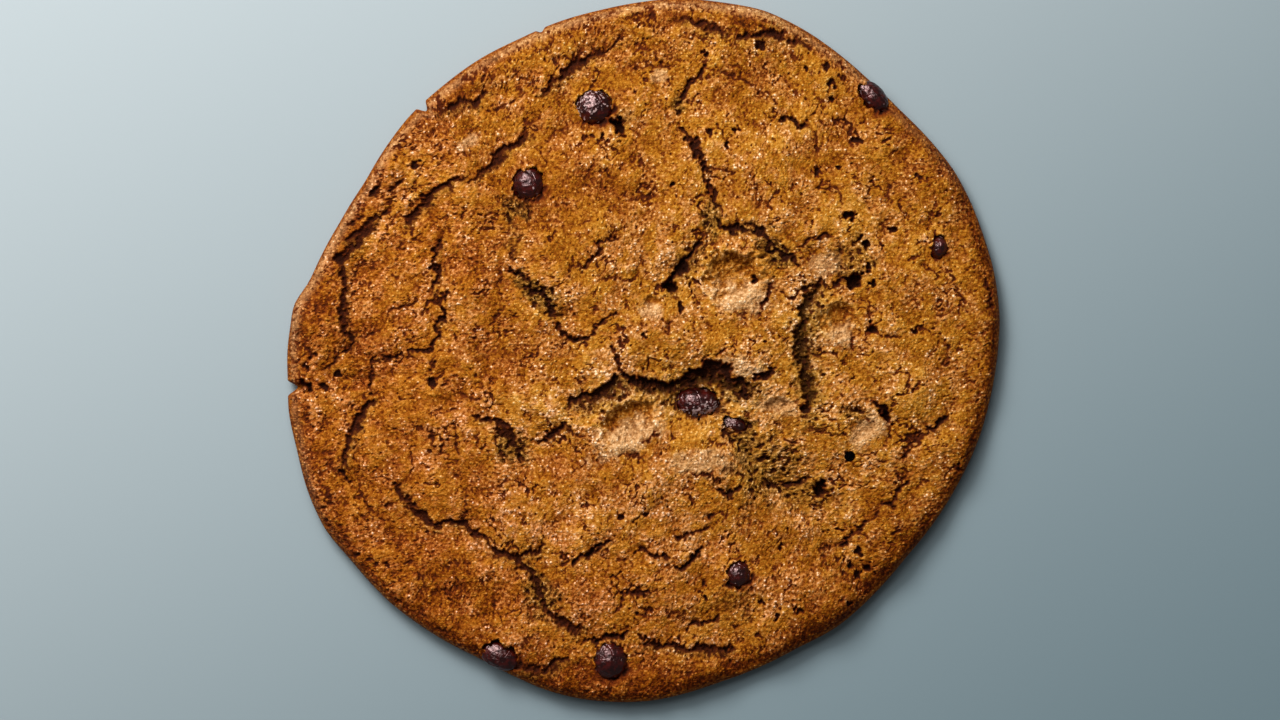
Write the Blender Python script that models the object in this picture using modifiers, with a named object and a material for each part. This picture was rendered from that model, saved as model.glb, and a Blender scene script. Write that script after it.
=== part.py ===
"""A large, thin chocolate chip cookie: a slab of baked dough, with the chips that show set in it.

Units are metres, +Z is up. The cookie lies on its flat base at z = 0, its outline centred over the
origin. +X is the photograph's right and +Y its top. Places are read off the photograph, which looks
straight down, in its own pixels, and spot() turns them into metres.
"""

import math

import bmesh
import bpy
import numpy as np
from mathutils import Matrix, Vector, noise

MM = 0.001

# Driving dimensions
DIAMETER = 109.5 * MM
RIM_HEIGHT = 4.3 * MM  # at the shoulder, where the rounded rim meets the top
CROWN_HEIGHT = 7.0 * MM
CROWN_REACH = 34 * MM  # from the rim to where the top levels out
SHOULDER = 3.4 * MM  # width of the rounded rim
WIDEST_HEIGHT = 1.7 * MM  # the rim is widest here, and rounds in under it to the base
UNDERCUT = 1.4 * MM
CHIP_GAP = 0.32 * MM
PINHOLE_RADIUS = 0.75 * MM
CRACK_TAPER = 0.35  # a crack's width at its ends, as a share of its width in the middle
CRACK_WANDER = 0.6 * MM  # how far a crack strays from side to side of its route
OUTLINE_EASE = 1.2  # degrees over which the outline's corners are rounded

# How the photograph shows it
PHOTO_WIDTH = 711.5  # pixels across the cookie
PHOTO_CENTRE = (643.2, 350.5)
PIXEL = DIAMETER / PHOTO_WIDTH

# The mesh before it is thinned
TURN_STEPS = 480
RING_STEP = 0.5 * MM
SOLID_TRIANGLES = 8800

# The outline, clockwise from the left. It is nearly round, with straighter runs at the upper left.
OUTLINE = [
    (287, 350), (291, 322), (293, 303), (308, 285), (319, 260), (340, 222), (365, 182), (392, 138),
    (410, 115), (440, 88), (480, 58.5), (520, 38.5), (560, 21), (600, 10), (640, 2), (680, -2),
    (720, 2), (764, 10), (805, 30), (834, 50), (869, 80), (900, 110), (930, 140), (954, 170),
    (970, 200), (985, 240), (994, 270), (1000, 320), (997, 360), (990, 400), (979, 439),
    (957, 486), (936, 520), (907, 556), (880, 588), (836, 628), (799, 647), (760, 667), (720, 682),
    (680, 695), (655, 700.5), (625, 702.5), (580, 699), (545, 690), (520, 679), (479, 658),
    (430, 632), (387, 600), (351, 560), (325, 530), (307, 490), (297, 450), (288, 410), (288, 385),
]
# Notches in the rim: where each cuts in, its width and its depth, in millimetres
NOTCHES = [((289, 388), 1.3, 1.5), ((423, 107), 1.1, 1.3), ((541, 31), 0.9, 0.5)]

# Cracks: width and depth in millimetres, then the route. First the folds that follow the rim.
CRACKS = [
    (1.8, 1.3, [(407, 220), (421, 211), (433, 196), (447, 184), (463, 177)]),
    (2.0, 1.3, [(473, 182), (488, 172), (500, 160), (515, 147), (531, 137), (560, 129)]),
    (1.7, 1.0, [(443, 114), (460, 103), (476, 105), (486, 93)]),
    (1.8, 1.2, [(544, 91), (562, 79), (574, 66), (598, 57), (622, 40)]),
    (1.8, 1.1, [(396, 211), (376, 217), (366, 233), (351, 250), (342, 262)]),
    (1.7, 1.0, [(344, 262), (345, 290), (343, 322), (351, 336), (338, 357), (323, 376)]),
    (1.8, 1.2, [(376, 376), (371, 403), (359, 426), (346, 455), (352, 478), (375, 511)]),
    (2.2, 1.4, [(399, 490), (416, 511), (434, 527), (452, 518), (483, 534), (495, 553)]),
    (1.9, 1.1, [(495, 553), (520, 554), (543, 545)]),
    (1.8, 1.0, [(503, 553), (530, 568), (541, 595), (556, 617), (577, 632)]),
    (1.8, 1.2, [(524, 667), (553, 672), (561, 657), (598, 638), (626, 630)]),
    (1.9, 1.2, [(738, 38), (770, 35), (797, 43), (813, 49)]),
    (1.7, 0.8, [(980, 280), (989, 298), (992, 312)]),
    (2.0, 1.2, [(898, 462), (915, 441), (935, 428), (948, 420), (966, 420)]),
    (1.7, 1.0, [(830, 549), (846, 543), (856, 526), (880, 509), (897, 492), (907, 477)]),
    (1.7, 0.9, [(645, 643), (683, 648), (732, 649)]),
    # The net of cracks over the crown
    (1.8, 1.2, [(442, 243), (437, 260), (441, 282), (447, 315), (441, 338), (428, 350), (372, 358)]),
    (2.2, 1.7, [(513, 238), (513, 270), (530, 286), (552, 307), (562, 334), (580, 342), (600, 327)]),
    (1.6, 1.0, [(613, 345), (618, 364), (628, 376)]),
    (2.6, 2.0, [(538, 442), (565, 426), (570, 403), (598, 393), (615, 376)]),
    (3.6, 2.3, [(626, 377), (650, 384), (680, 385), (706, 370), (725, 374), (745, 381), (775, 367)]),
    (2.2, 1.8, [(705, 240), (692, 251), (683, 268), (670, 289)]),
    (1.8, 1.2, [(676, 297), (681, 313), (671, 331)]),
    (1.6, 1.0, [(611, 238), (596, 255), (586, 267), (568, 276)]),
    (1.9, 1.4, [(703, 73), (688, 89), (672, 112), (684, 134), (701, 160), (711, 192), (716, 227)]),
    (1.9, 1.5, [(716, 228), (745, 230), (768, 243), (778, 258), (798, 262)]),
    (1.6, 1.0, [(711, 196), (690, 200), (655, 199), (628, 200)]),
    (1.7, 1.0, [(712, 70), (738, 78), (752, 92), (776, 99)]),
    (1.8, 1.3, [(766, 118), (790, 121), (812, 127), (840, 125), (848, 115)]),
    (1.8, 1.2, [(780, 297), (797, 297), (812, 287), (828, 287), (846, 280)]),
    (2.6, 2.1, [(811, 291), (803, 318), (800, 345), (801, 370), (808, 388), (806, 412)]),
    (1.8, 1.1, [(860, 295), (871, 312), (874, 328), (860, 345)]),
    (1.8, 1.2, [(868, 395), (880, 408), (886, 418), (862, 415)]),
    (1.9, 1.1, [(474, 415), (498, 424), (511, 438), (521, 461)]),
    (1.9, 1.4, [(822, 475), (800, 482), (770, 484), (740, 487), (720, 493), (708, 515)]),
    (1.6, 0.9, [(713, 527), (694, 531), (678, 538)]),
    (1.8, 1.2, [(556, 553), (584, 554), (598, 547), (615, 539)]),
    (1.7, 1.0, [(632, 550), (650, 550), (669, 556), (678, 568), (701, 546)]),
    (1.7, 1.0, [(614, 587), (628, 592), (655, 590)]),
    (1.6, 0.9, [(686, 631), (703, 623), (720, 616)]),
]
# Open pits in the crust: place, then radius and depth in millimetres
PITS = [
    ((619, 129), 1.8, 2.4), ((853, 279), 1.4, 2.2), ((800, 345), 1.4, 2.4), ((670, 288), 1.2, 2.2),
    ((817, 488), 1.2, 2.0), ((886, 418), 1.0, 2.0), ((847, 217), 1.1, 1.6), ((307, 384), 1.2, 1.6),
    ((937, 426), 1.2, 1.5), ((724, 147), 1.0, 1.3), ((868, 567), 1.3, 1.4), ((736, 395), 1.6, 1.4),
]
# Dimples where the crust has sunk into pale hollows: place, half length and half width in
# millimetres, the turn of the length from +X in degrees, and depth in millimetres
DIMPLES = [
    ((738, 276), 4.2, 3.6, -15, 1.3), ((630, 424), 5.4, 3.4, 25, 1.3), ((837, 323), 3.2, 2.8, 0, 1.0),
    ((652, 304), 1.7, 1.5, 0, 0.9), ((775, 404), 2.6, 2.0, 10, 0.7), ((868, 432), 3.2, 2.2, 40, 0.7),
]
# Swells in the crust: place, radius and height in millimetres
SWELLS = [
    ((312, 318), 5.0, 0.9), ((752, 22), 4.6, 1.0), ((892, 540), 6.5, 0.9), ((800, 592), 6.5, 0.9),
    ((575, 600), 5.5, 0.7), ((600, 255), 9.0, 0.7), ((395, 290), 8.0, 0.7), ((480, 280), 6.5, 0.6),
    ((560, 380), 9.0, 0.7), ((655, 335), 6.0, 0.7), ((770, 190), 8.0, 0.6), ((640, 500), 9.0, 0.6),
    ((520, 640), 4.5, 0.6), ((700, 450), 5.0, 0.7), ((920, 330), 8.0, 0.5), ((460, 600), 7.0, 0.6),
    ((735, 250), 3.0, 0.5), ((618, 396), 3.4, 0.6), ((740, 362), 2.6, 0.6), ((320, 460), 5.0, 0.5),
]
PINHOLE = (849, 456)  # a hole right through the slab

# Chips: place, half sizes in millimetres (length, width, height), the turn of the length from +X
# in degrees, and how far the chip stands above the dough's own height there
CHIPS = [
    ((595, 108), (3.0, 2.9, 2.3), 0, 1.3),
    ((529, 185), (2.8, 2.7, 2.2), 30, 1.1),
    ((872, 97), (3.0, 1.9, 1.5), -45, 0.5),
    ((938, 248), (1.9, 1.4, 1.7), 80, 0.7),
    ((697, 402), (3.5, 2.3, 2.0), 0, 0.3),
    ((738, 573), (2.2, 2.3, 2.1), 0, 1.2),
    ((501, 655), (3.3, 2.2, 1.6), -20, 0.4),
    ((610, 659), (2.8, 3.0, 2.1), 0, 1.2),
    ((735, 424), (1.9, 1.3, 1.3), -20, 0.1),
]


def spot(pixel):
    """The place in metres of a pixel of the photograph."""
    return (pixel[0] - PHOTO_CENTRE[0]) * PIXEL, (PHOTO_CENTRE[1] - pixel[1]) * PIXEL


def smooth(share):
    """Rises from 0 to 1 with level ends."""
    share = np.clip(share, 0, 1)
    return share * share * (3 - 2 * share)


def outline_radius(angle):
    """The rim's distance from the origin in each direction, notches included."""
    points = np.array([spot(p) for p in OUTLINE])
    bearing = np.arctan2(points[:, 1], points[:, 0])
    reach = np.hypot(points[:, 0], points[:, 1])
    radius = np.zeros_like(angle)
    for step, weight in ((-2, 0.1), (-1, 0.2), (0, 0.4), (1, 0.2), (2, 0.1)):
        turned = angle + math.radians(step * OUTLINE_EASE)
        radius += weight * np.interp(turned, bearing, reach, period=2 * math.pi)
    for place, width, depth in NOTCHES:
        x, y = spot(place)
        off = np.abs((angle - math.atan2(y, x) + math.pi) % (2 * math.pi) - math.pi) * radius
        radius = radius - depth * MM * smooth(1 - off / (width * MM))
    return radius


def groove(x, y, width, route):
    """1 along the middle of a crack and 0 beyond its sides, at each point."""
    points = np.array([spot(p) for p in route])
    steps = np.diff(points, axis=0)
    lengths = np.hypot(steps[:, 0], steps[:, 1])
    starts = np.concatenate([[0], np.cumsum(lengths)])
    depth = np.zeros_like(x)
    for (ax, ay), (dx, dy), length, start in zip(points, steps, lengths, starts):
        t = np.clip(((x - ax) * dx + (y - ay) * dy) / length**2, 0, 1)
        away = np.hypot(x - ax - t * dx, y - ay - t * dy)
        along = (start + t * length) / starts[-1]
        half = width / 2 * (CRACK_TAPER + (1 - CRACK_TAPER) * np.sin(math.pi * along))
        depth = np.maximum(depth, 1 - away / half)
    return smooth(depth)


def mound(x, y, place, length, width, turn):
    """1 at the middle of an oval and falling to 0 well outside it, at each point."""
    cx, cy = spot(place)
    c, s = math.cos(math.radians(turn)), math.sin(math.radians(turn))
    u = ((x - cx) * c + (y - cy) * s) / length
    v = ((y - cy) * c - (x - cx) * s) / width
    return np.exp(-(u * u + v * v))


def bare_height(x, y):
    """The top of the slab with its rounded rim and its swells, before anything is sunk in it."""
    inside = outline_radius(np.arctan2(y, x)) - np.hypot(x, y)
    shoulder = np.sqrt(1 - (1 - np.clip(inside / SHOULDER, 0, 1)) ** 2)
    height = WIDEST_HEIGHT + (RIM_HEIGHT - WIDEST_HEIGHT) * shoulder
    height += (CROWN_HEIGHT - RIM_HEIGHT) * smooth(inside / CROWN_REACH)
    for place, radius, rise in SWELLS:
        height += rise * MM * shoulder * mound(x, y, place, radius * MM, radius * MM, 0)
    return height


def uneven(x, y, size, layer):
    """Random waves of about that size, from -1 to 1. Each layer has waves of its own."""
    return np.array([noise.noise(Vector((a / size, b / size, layer))) for a, b in zip(x, y)])


def top_height(x, y):
    """The top of the slab at each point."""
    inside = outline_radius(np.arctan2(y, x)) - np.hypot(x, y)
    firm = smooth(inside / SHOULDER)
    height = bare_height(x, y)
    height += MM * firm * (0.35 * uneven(x, y, 9 * MM, 0) + 0.22 * uneven(x, y, 2.6 * MM, 5))
    for place, length, width, turn, depth in DIMPLES:
        height -= depth * MM * mound(x, y, place, length * MM * 0.7, width * MM * 0.7, turn)
    cut = np.zeros_like(x)
    strayed_x = x + CRACK_WANDER * uneven(x, y, 3.2 * MM, 10)
    strayed_y = y + CRACK_WANDER * uneven(x, y, 3.2 * MM, 15)
    for width, depth, route in CRACKS:
        cut = np.maximum(cut, depth * MM * groove(strayed_x, strayed_y, width * MM, route))
    for place, radius, depth in PITS:
        cut = np.maximum(cut, depth * MM * mound(x, y, place, radius * MM, radius * MM, 0) ** 2)
    return height - cut * np.sqrt(np.clip(inside / SHOULDER, 0, 1))


def make_material(name, colour, roughness):
    """A Principled material of one colour."""
    material = bpy.data.materials.new(name)
    material.use_nodes = True
    shader = material.node_tree.nodes["Principled BSDF"]
    shader.inputs["Base Color"].default_value = (*colour, 1)
    shader.inputs["Roughness"].default_value = roughness
    shader.inputs["Metallic"].default_value = 0
    return material


def add_object(name, mesh, collection):
    """A new object for the mesh, in the collection."""
    obj = bpy.data.objects.new(name, mesh)
    collection.objects.link(obj)
    return obj


def evaluated_mesh(obj):
    """The object's mesh with its modifiers applied."""
    graph = bpy.context.evaluated_depsgraph_get()
    return bpy.data.meshes.new_from_object(obj.evaluated_get(graph), depsgraph=graph)


def section():
    """The blank's half section, from the middle of its top round the rim to the middle of its base."""
    radius = DIAMETER / 2
    rim_steps = [0.15, 0.4, 0.75, 1.15, 1.6]
    flat = np.arange(0, radius - 2 * MM, RING_STEP)
    top = [(r, CROWN_HEIGHT) for r in flat]
    top += [(radius - d * MM, RIM_HEIGHT) for d in reversed(rim_steps)]
    under = [
        (radius - UNDERCUT * (1 - math.cos(a)), WIDEST_HEIGHT * (1 - math.sin(a)))
        for a in np.radians([0, 22.5, 45, 67.5, 90])
    ]
    base = [(radius * share, 0) for share in (0.85, 0.6, 0.3, 0)]
    return top + under + base


def turned_blank(collection):
    """The half section turned round Z with a Screw modifier, as a mesh."""
    points = section()
    mesh = bpy.data.meshes.new("section")
    edges = [(i, i + 1) for i in range(len(points) - 1)]
    mesh.from_pydata([(r, 0, z) for r, z in points], edges, [])
    blank = add_object("blank", mesh, collection)
    screw = blank.modifiers.new("turn", "SCREW")
    screw.steps = screw.render_steps = TURN_STEPS
    screw.use_merge_vertices = True
    screw.merge_threshold = 0.00001
    solid = evaluated_mesh(blank)
    bpy.data.objects.remove(blank)
    return solid


def shape_slab(mesh):
    """Moves the blank's points out to the real outline and its top to the real height."""
    co = np.empty(len(mesh.vertices) * 3)
    mesh.vertices.foreach_get("co", co)
    co = co.reshape(-1, 3)
    angle = np.arctan2(co[:, 1], co[:, 0])
    stretch = outline_radius(angle) / (DIAMETER / 2)
    co[:, 0] *= stretch
    co[:, 1] *= stretch
    top = co[:, 2] > WIDEST_HEIGHT + 0.01 * MM
    co[top, 2] = top_height(co[top, 0], co[top, 1])
    mesh.vertices.foreach_set("co", co.ravel())
    mesh.update()


def thinned(mesh, triangles, collection):
    """The mesh brought down to about that many triangles, which gather at the cracks."""
    obj = add_object("fine", mesh, collection)
    mesh.calc_loop_triangles()
    decimate = obj.modifiers.new("thin", "DECIMATE")
    decimate.ratio = triangles / len(mesh.loop_triangles)
    solid = evaluated_mesh(obj)
    bpy.data.objects.remove(obj)
    for vertex in solid.vertices:
        if vertex.co.z < 0.02 * MM:
            vertex.co.z = 0
    return solid


def chip_mesh(half_sizes, turn, grow):
    """A chip: a rounded drop, fuller below than above, grown all round by that much."""
    bm = bmesh.new()
    bmesh.ops.create_uvsphere(bm, u_segments=14, v_segments=8, radius=1)
    length, width, height = (size * MM + grow for size in half_sizes)
    for vertex in bm.verts:
        x, y, z = vertex.co
        swell = 1 + 0.05 * noise.noise(Vector((x, y, z)) * 1.7 + Vector((turn, length * 900, 0)))
        taper = 1 - 0.1 * max(z, 0) ** 2
        vertex.co = (x * length * swell * taper, y * width * swell * taper, z * height)
    bmesh.ops.rotate(bm, verts=bm.verts, matrix=Matrix.Rotation(math.radians(turn), 3, "Z"))
    mesh = bpy.data.meshes.new("chip")
    bm.to_mesh(mesh)
    bm.free()
    return mesh


def chip_place(place, half_sizes, proud):
    """The middle of a chip, which stands proud of the dough's own height there."""
    x, y = spot(place)
    height = bare_height(np.array([x]), np.array([y]))[0]
    return x, y, height + (proud - half_sizes[2]) * MM


def cut_from(obj, cutters):
    """Cuts a whole collection of cutters from the object."""
    cut = obj.modifiers.new("cut", "BOOLEAN")
    cut.operation = "DIFFERENCE"
    cut.operand_type = "COLLECTION"
    cut.collection = cutters
    cut.solver = "EXACT"


def hide_cutter(obj):
    """Marks an object as a cutter, which isn't part of the cookie."""
    obj.hide_render = True
    obj.display_type = "WIRE"


def pinhole_mesh():
    """A rod through the slab."""
    bm = bmesh.new()
    bmesh.ops.create_cone(
        bm,
        segments=10,
        radius1=PINHOLE_RADIUS,
        radius2=PINHOLE_RADIUS * 1.25,
        depth=4 * CROWN_HEIGHT,
        cap_ends=True,
    )
    mesh = bpy.data.meshes.new("pinhole")
    bm.to_mesh(mesh)
    bm.free()
    return mesh


def build():
    """Makes the cookie's dough and its chips."""
    for obj in list(bpy.data.objects):
        bpy.data.objects.remove(obj)
    cookie = bpy.data.collections.new("chocolate_chip_cookie")
    cutters = bpy.data.collections.new("cutters")
    for collection in (cookie, cutters):
        bpy.context.scene.collection.children.link(collection)
    dough_look = make_material("baked_dough", (0.37, 0.13, 0.02), 0.7)
    chocolate = make_material("chocolate", (0.035, 0.008, 0.006), 0.4)

    mesh = turned_blank(cookie)
    shape_slab(mesh)
    dough = add_object("dough", thinned(mesh, SOLID_TRIANGLES, cookie), cookie)
    dough.data.materials.append(dough_look)

    for number, (place, half_sizes, turn, proud) in enumerate(CHIPS, 1):
        middle = chip_place(place, half_sizes, proud)
        chip = add_object(f"chip_{number}", chip_mesh(half_sizes, turn, 0), cookie)
        chip.location = middle
        chip.data.materials.append(chocolate)
        chip.data.shade_smooth()
        pocket = add_object(f"pocket_{number}", chip_mesh(half_sizes, turn, CHIP_GAP), cutters)
        pocket.location = middle
        hide_cutter(pocket)

    pinhole = add_object("pinhole", pinhole_mesh(), cutters)
    pinhole.location = (*spot(PINHOLE), 0)
    hide_cutter(pinhole)
    cut_from(dough, cutters)


build()
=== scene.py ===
"""The looks of a large thin chocolate chip cookie, seen from straight above as in its photograph.

Metres, +Z up, +X to the photograph's right and +Y to its top. The crust is worked out on a raster of
small square cells: the relief, and how dark, torn, pale or toasted each spot is. The darkness of the
gaps and of the hollows is painted shade, the toasting along the rim away from the light is partly
painted shade, and the pale along the rim towards the light is partly a painted sheen. A fine closed
mesh then takes its heights and attributes from that raster and stands for the dough's solid. Places
are read off the photograph in its own pixels, and spot() turns them into metres.
"""

import math

import bmesh
import bpy
import numpy as np
from mathutils import Matrix, Vector, noise

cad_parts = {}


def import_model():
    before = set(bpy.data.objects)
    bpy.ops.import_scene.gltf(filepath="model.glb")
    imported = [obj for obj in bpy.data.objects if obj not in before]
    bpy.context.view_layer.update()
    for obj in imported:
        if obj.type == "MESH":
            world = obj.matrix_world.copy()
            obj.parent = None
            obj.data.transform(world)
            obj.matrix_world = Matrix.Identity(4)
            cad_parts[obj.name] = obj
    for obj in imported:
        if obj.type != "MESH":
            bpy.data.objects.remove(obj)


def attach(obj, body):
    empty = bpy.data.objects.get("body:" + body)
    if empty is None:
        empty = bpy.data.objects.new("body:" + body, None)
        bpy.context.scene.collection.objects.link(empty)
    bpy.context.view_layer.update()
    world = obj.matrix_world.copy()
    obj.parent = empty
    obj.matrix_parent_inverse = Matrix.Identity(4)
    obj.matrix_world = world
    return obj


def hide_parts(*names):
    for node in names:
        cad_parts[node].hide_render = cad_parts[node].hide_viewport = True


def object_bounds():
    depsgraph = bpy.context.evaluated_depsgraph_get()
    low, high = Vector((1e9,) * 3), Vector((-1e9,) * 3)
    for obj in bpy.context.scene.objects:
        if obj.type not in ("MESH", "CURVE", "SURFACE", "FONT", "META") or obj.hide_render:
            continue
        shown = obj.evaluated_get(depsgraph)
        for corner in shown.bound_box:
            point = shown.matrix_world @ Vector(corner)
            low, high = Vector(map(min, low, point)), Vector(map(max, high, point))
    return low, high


MM = 0.001

# The solid's driving sizes, the same as in the part
DIAMETER = 109.5 * MM
RIM_HEIGHT = 4.3 * MM
CROWN_HEIGHT = 7.0 * MM
CROWN_REACH = 34 * MM
SHOULDER = 3.4 * MM
WIDEST_HEIGHT = 1.7 * MM
UNDERCUT = 1.4 * MM
OUTLINE_EASE = 1.2
PINHOLE_RADIUS = 0.75 * MM
PINHOLE_TOP_RADIUS = 0.9 * MM
ROD_LENGTH = 30 * MM  # of the rod that cuts it

# The photograph
PHOTO_SIZE = (1280, 720)
PHOTO_WIDTH = 711.5
PHOTO_CENTRE = (643.2, 350.5)
PIXEL = DIAMETER / PHOTO_WIDTH
TO_LIGHT = (-0.5, 0.87)  # the light comes from the photograph's upper left

# The raster and the mesh
CELL = 0.125 * MM
HALF = 57 * MM
SIDE = int(2 * HALF / CELL) + 1
GRID = 601  # points along each side of the square grid that is drawn into the round top
SIDE_START = 0.6 * MM  # how far under the rim's shoulder the top's marks begin to fade out
SIDE_BLEND = 1.0 * MM
RIM_CROWDING = 6 * MM  # the top's rings draw closer together from here to the rim
RIM_CLEARANCE = 0.03 * MM  # how far the fine mesh stays inside the solid's rim
TOP_CLEARANCE = 0.02 * MM  # and under the top of the solids' box
FIRM_RIM = 1.2 * MM  # the relief comes to its full depth this far in from the rim
THINNEST = 0.6 * MM
TILES = 64  # the table of random plates repeats after this many of them
FLAKE_STRETCH = 3.4  # how many times as long as wide the rim's flakes are
FLOOR_HALF = 2.0
FLOOR_DROP = 0.2 * MM
SIDE_RINGS = 7
BASE_RINGS = (0.97, 0.9, 0.78, 0.62, 0.45, 0.28, 0.12)  # as shares of the base's radius

# The bake map's discs for the top and the underside: middle and radius, and how much of the
# underside's radius the rim's side takes up
TOP_DISC = (0.425, 0.42)
UNDER_DISC = (0.84, 0.155)
SIDE_SPAN = 0.14

# The Mix node's colour sockets by number, because their names repeat
MIX_SHARE, MIX_A, MIX_B, MIX_RESULT = 0, 6, 7, 2

# The rim, clockwise from its leftmost point, each point as its pixel's two coordinates
OUTLINE = """
287,350 291,322 293,303 308,285 319,260 340,222 365,182 392,138 410,115 440,88 480,58.5 520,38.5 560,21
600,10 640,2 680,-2 720,2 764,10 805,30 834,50 869,80 900,110 930,140 954,170 970,200 985,240 994,270
1000,320 997,360 990,400 979,439 957,486 936,520 907,556 880,588 836,628 799,647 760,667 720,682
680,695 655,700.5 625,702.5 580,699 545,690 520,679 479,658 430,632 387,600 351,560 325,530 307,490
297,450 288,410 288,385
"""
# Notches in the rim: where each cuts in, its width and its depth in millimetres
NOTCHES = [((289, 388), 1.3, 1.5), ((423, 107), 1.1, 1.3), ((541, 31), 0.9, 0.5)]

# Cracks by kind: width and depth in millimetres, how dark the shade painted in them is and how
# crumbly they are, and the routes, one to a line, each point as its pixel's two coordinates
CRUMBLY = (2.1, 1.1, 0.1, 1.0, """
816,289 809,298 804,312 800,338 801,356 806,376 808,395 806,411
640,384 662,391 690,384 712,376 735,388 748,386
590,398 600,394 612,388 618,378
""")
GAPING = (1.1, 1.2, 1.0, 0.0, """
626,378 640,381 655,385 668,386 680,383
680,382 690,373 705,366 715,362 722,369 730,377 742,383
693,250 688,258 684,268 677,273 671,279 669,291
""")
WIDE = (0.66, 0.8, 0.85, 0.3, """
510,272 520,276 527,280 533,290 545,295 550,303 553,312 563,317
560,322 560,330 565,337 575,342 583,339 592,335
755,379 763,376 772,370 778,366
702,243 694,250
740,37 750,36 758,34 770,36 780,32 790,38
574,563 580,556 590,554 597,547 605,541 615,539
670,567 677,569 683,566 690,560 697,554 702,546
779,121 788,121 798,125 808,126
614,374 612,384 604,391 594,396 584,397 572,401 569,409
566,420 566,427 556,431 548,435 540,443
582,640 592,639 602,636 612,637 620,635 628,630
925,426 932,429 938,423 948,417
681,313 680,305 675,299
765,487 775,483 788,484 800,482 808,479
719,488 722,493 730,490 741,485
443,240 437,250 435,261 439,270 438,280 436,291
440,306 447,313 443,320 438,327 440,337
680,130 686,137 695,142 694,150 700,158 703,166 705,175
720,228 732,231 742,229 752,232 762,233 768,243 773,252
773,252 782,257 792,258 798,265
371,196 381,185
""")
FOLDED = (0.95, 0.75, 0.72, 0.0, """
475,415 497,421 512,436 518,448 525,459
400,484 403,495 417,510 430,524 438,527
372,400 360,420 351,439 344,460
472,183 488,168 505,152 515,145 530,136
404,219 412,221 420,209 438,190 463,177
438,527 446,518 464,523 480,535 488,540
488,540 500,553 520,556 542,546
505,552 520,562 538,580 543,607
543,607 560,619 574,631 581,625
684,21 700,25 723,34
345,240 355,236 375,224
376,217 366,233 351,250 342,262
344,262 345,290 343,322 351,336
544,91 562,79 574,66 598,57
443,114 460,103 476,105 486,93
520,666 545,670 557,661 566,657
645,643 683,648 732,649
738,38 770,35 797,43
""")
OPEN = (0.38, 0.65, 0.8, 0.0, """
592,335 597,328 604,321 610,317 620,318
612,343 614,348 617,358 620,366 626,375
568,273 577,268 587,266 594,261 597,253 602,246 610,239 620,236
473,106 480,102 485,94
442,115 455,106 465,102
560,73 568,69 583,62 590,57 600,54 607,49 620,41 626,36
358,237 352,245 350,253 345,259
388,190 402,181
350,226 358,220 366,216
370,221 380,219 392,211
343,268 343,280 344,296
345,303 344,312 340,323
352,330 355,338 352,345 345,353 338,358 330,366 325,372
370,361 385,359 397,358 405,351
412,353 421,350 430,350 436,343 440,335
370,362 375,370 370,385 372,393
344,460 345,472 350,481
446,290 449,302
706,60 704,70 700,77 692,85 686,92 680,99 674,108
705,175 709,184 712,193 712,200 716,206 720,211
794,249 803,245 812,240 822,236 833,238
779,294 788,298 797,297 803,291 812,286 822,285 829,288
829,288 840,280 847,278
773,286 768,292 765,303 757,316
870,402 876,405 886,416
921,433 913,441 907,450 901,459
632,550 640,549 650,551 660,555 669,559
676,538 688,534 700,530 714,526
707,517 713,511 723,509
616,586 623,591 635,592 647,592 657,588
640,634 652,641 664,643 672,646 683,648
684,630 692,625 704,621 719,616
878,510 870,516 862,522 854,531 849,538 841,543 831,546 818,550
908,478 900,486 896,496 890,503 880,506
981,278 986,286 990,298 989,311
756,386 749,393 740,396 731,392
""")
FINE = (0.22, 0.4, 0.65, 0.0, """
545,140 555,133 571,127
520,137 533,134
525,125 541,119
496,116 505,108 512,103 520,95
490,82 499,78
541,92 548,88 556,83 566,79
355,338 370,333 379,332
437,358 433,364 430,371
400,395 408,399 416,397
390,315 395,308 403,307 411,308 416,303
462,395 479,400
441,413 448,411 456,408
457,420 459,453
430,425 434,435 432,449
503,306 500,315 491,324
490,340 483,344 475,353
502,268 501,290 500,301
512,245 514,255 513,263
602,281 611,278 622,280 632,278 644,275
628,199 636,200 645,199 656,197
600,173 608,174 615,178
583,224 591,222
688,199 697,197 707,195
705,70 720,75 742,79 750,87 760,93 771,97
632,70 640,66 650,66 658,68 676,65
795,44 805,45 813,49
703,166 712,170 734,172
750,180 753,187 759,195 757,206
703,233 709,239
568,427 578,435 584,438
642,440 650,439 658,433
627,455 637,453 643,457
686,474 695,471 706,474 719,479
670,325 671,331
746,317 741,328
853,337 852,343 853,351
862,342 868,337 873,335
860,300 866,308 871,316
882,337 899,337
903,372 907,380 912,388 921,388
941,343 948,347 945,358 941,367
922,265 930,272 936,281
952,283 955,290 960,296 963,305 957,316
935,316 951,313
856,410 862,417 876,420
785,437 793,440 798,445
803,433 810,430 820,432 836,434
857,453 868,451 876,456 883,447 888,436 889,427
875,462 890,459
820,125 828,123 838,124 843,120 848,114
814,130 816,153
832,185 836,190 839,198 841,205
890,185 890,193 889,204
925,214 932,217 940,213 945,205 949,197
932,233 933,241
361,482 362,495 369,503 375,514
385,507 399,502
403,563 416,562
420,570 426,586
410,608 425,615
438,626 451,637
455,560 458,585 469,592
497,488 505,482 513,480 521,478
468,495 466,508 467,519
554,553 571,556
617,557 633,564
626,594 622,602 613,611
929,513 924,532
806,306 816,300
""")
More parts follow.
